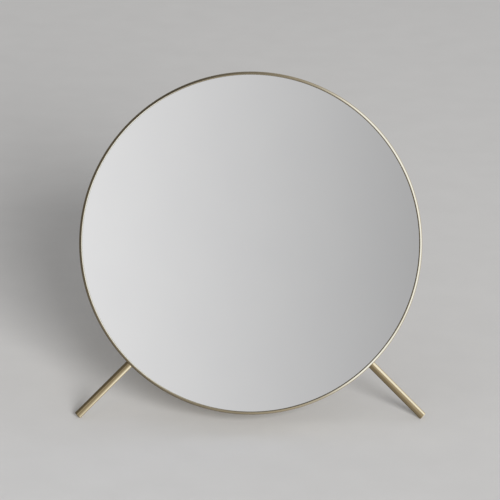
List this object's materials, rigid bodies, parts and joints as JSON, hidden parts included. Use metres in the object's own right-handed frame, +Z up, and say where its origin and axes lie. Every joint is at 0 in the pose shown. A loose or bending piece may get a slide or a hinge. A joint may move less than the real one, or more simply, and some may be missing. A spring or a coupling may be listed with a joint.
{
  "type": "magnifying mirror",
  "caption": "Round concave magnifying mirror in a thin brass rim, tilting on a hub that stands on a tripod of straight brass rods.",
  "frame": {"origin": "on the floor, under the middle of the part's bounding box", "axes": "+Z up, the mirror faces -Y and leans back, +X to the right of someone who looks into the mirror"},
  "size_m": [0.2272, 0.183, 0.2188],
  "materials": {
    "brass": "satin",
    "back_metal": "satin",
    "steel": "satin",
    "mirror": "polished",
    "rubber": "matte",
    "foam": "matte",
    "nylon": "matte"
  },
  "bodies": {
    "stand": {"pivot_hub": "brass", "front_leg_left": "brass", "front_leg_right": "brass", "rear_leg": "brass", "leg_grub_screws": "steel", "pivot_screw_left": "brass", "pivot_screw_right": "brass", "friction_washer_left": "nylon", "friction_washer_right": "nylon", "spring_washer_left": "steel", "spring_washer_right": "steel", "tilt_stop_pin": "steel"},
    "head": {"frame_ring": "brass", "mirror_glass": "mirror", "glass_gasket": "rubber", "foam_pad": "foam", "back_plate": "back_metal", "back_plate_screws": "steel", "yoke": "brass", "yoke_screws": "steel"}
  },
  "joints": [
    {"name": "mirror_tilt", "type": "hinge", "parent": "stand", "child": "head", "pos_m": [0, -0.02838, 0.10659], "axis": [-1, 0, 0], "range_deg": [-7, 25]}
  ]
}
